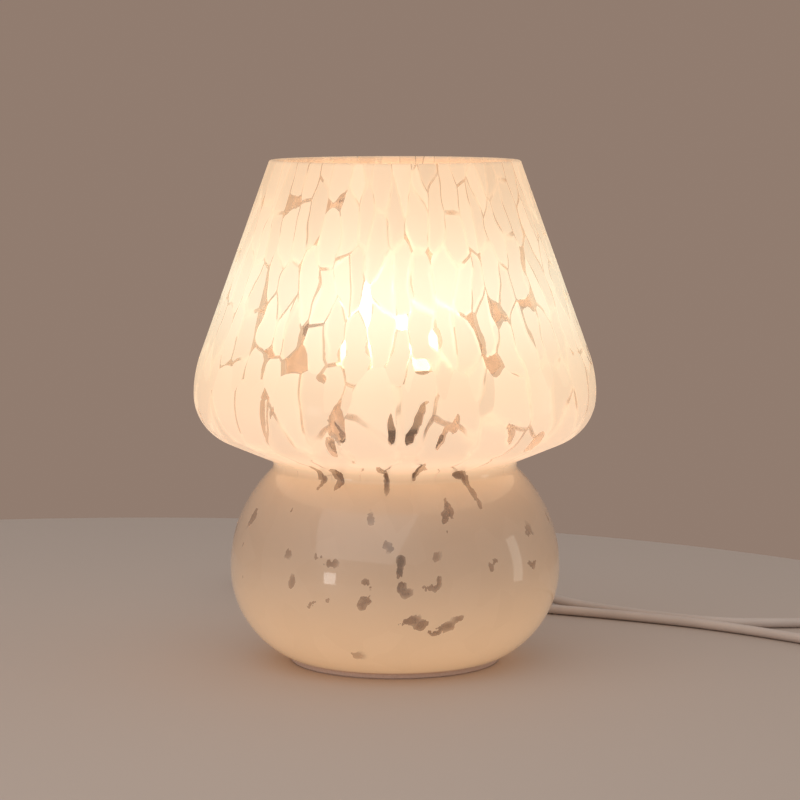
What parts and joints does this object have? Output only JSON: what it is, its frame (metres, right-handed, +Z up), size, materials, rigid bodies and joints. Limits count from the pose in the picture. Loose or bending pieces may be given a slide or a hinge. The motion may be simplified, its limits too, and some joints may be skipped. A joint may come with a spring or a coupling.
{
  "type": "mushroom table lamp",
  "caption": "Blown-glass mushroom lamp, open at the rim, with a bulb on a sprung neck clip, a round lead, an in-line rocker switch, a coil and a flat two-pin plug.",
  "frame": {"origin": "on the table under the middle of the foot pad, on the lamp's axis", "axes": "+Z up along the lamp's axis, +Y to the lamp's back where the lead leaves, +X to the right seen from the front"},
  "size_m": [0.3396, 0.3328, 0.225],
  "materials": {
    "glass_body": "clear cased glass over merged milk-white chips, gloss",
    "foot_pad": "soft pale pad, matt",
    "cord_grommet": "soft white bush, matt",
    "neck_clip": "stamped spring steel, satin",
    "leg_sleeves": "soft pale sleeves, satin",
    "rest_sleeves": "soft pale sleeves, satin",
    "lower_clamp_ring": "black moulded plastic, satin",
    "upper_clamp_ring": "black moulded plastic, satin",
    "holder_shell": "black moulded plastic, satin",
    "holder_cap": "black moulded plastic, satin",
    "threaded_nipple": "zinc-plated steel, satin",
    "lock_nut": "zinc-plated steel, satin",
    "wire_bush": "white plastic, matt",
    "contact_block": "unglazed white ceramic, matt",
    "screw_shell": "bright brass, satin",
    "centre_contact": "bright brass, satin",
    "terminal_screws": "bright brass, satin",
    "bulb_contact": "soldered tip, satin",
    "bulb_insulator": "black glass, gloss",
    "bulb_cap": "bright aluminium, satin",
    "bulb_housing": "white plastic, satin",
    "led_board": "white-coated aluminium board, matt",
    "led_chips": "yellow phosphor, satin",
    "bulb_globe": "white diffuser, matt, lit from inside",
    "lead_entry": "white flexible sheath, satin",
    "inner_wires": "insulated single wires, satin",
    "lead_to_switch": "white flexible sheath, satin",
    "switch_sleeve_lamp_side": "white soft plastic, satin",
    "switch_sleeve_plug_side": "white soft plastic, satin",
    "switch_bottom": "white moulded plastic, gloss",
    "switch_top": "white moulded plastic, gloss",
    "switch_rocker": "white moulded plastic, gloss",
    "switch_screws": "zinc-plated steel, satin",
    "switch_contacts": "bright brass, satin",
    "lead_to_coil": "white flexible sheath, satin",
    "lead_coil": "white flexible sheath, satin",
    "lead_to_plug": "white flexible sheath, satin",
    "coil_tie": "white plastic strap, satin",
    "plug_body": "white moulded plastic, satin",
    "plug_sleeve": "white soft plastic, satin",
    "plug_pins": "nickel-plated, bright"
  },
  "bodies": {
    "lamp": {"glass_body": "glass_body", "foot_pad": "foot_pad", "cord_grommet": "cord_grommet", "neck_clip": "neck_clip", "leg_sleeves": "leg_sleeves", "rest_sleeves": "rest_sleeves", "lower_clamp_ring": "lower_clamp_ring", "upper_clamp_ring": "upper_clamp_ring", "holder_shell": "holder_shell", "holder_cap": "holder_cap", "threaded_nipple": "threaded_nipple", "lock_nut": "lock_nut", "wire_bush": "wire_bush", "contact_block": "contact_block", "screw_shell": "screw_shell", "centre_contact": "centre_contact", "terminal_screws": "terminal_screws", "lead_entry": "lead_entry", "inner_wires": "inner_wires", "lead_to_switch": "lead_to_switch", "switch_sleeve_lamp_side": "switch_sleeve_lamp_side", "switch_sleeve_plug_side": "switch_sleeve_plug_side", "switch_bottom": "switch_bottom", "switch_top": "switch_top", "switch_screws": "switch_screws", "switch_contacts": "switch_contacts", "lead_to_coil": "lead_to_coil", "lead_coil": "lead_coil", "lead_to_plug": "lead_to_plug", "coil_tie": "coil_tie", "plug_body": "plug_body", "plug_sleeve": "plug_sleeve", "plug_pins": "plug_pins"},
    "bulb": {"bulb_contact": "bulb_contact", "bulb_insulator": "bulb_insulator", "bulb_cap": "bulb_cap", "bulb_housing": "bulb_housing", "led_board": "led_board", "led_chips": "led_chips", "bulb_globe": "bulb_globe"},
    "rocker": {"switch_rocker": "switch_rocker"}
  },
  "joints": [
    {"name": "bulb_lift", "type": "slide", "parent": "lamp", "child": "bulb", "axis": [0, 0, 1], "range_m": [0, 0.165]},
    {"name": "rocker_tilt", "type": "hinge", "parent": "lamp", "child": "rocker", "pos_m": [0.003, 0.146, 0.0129], "axis": [0, 1, 0], "range_deg": [-20, 0]}
  ]
}
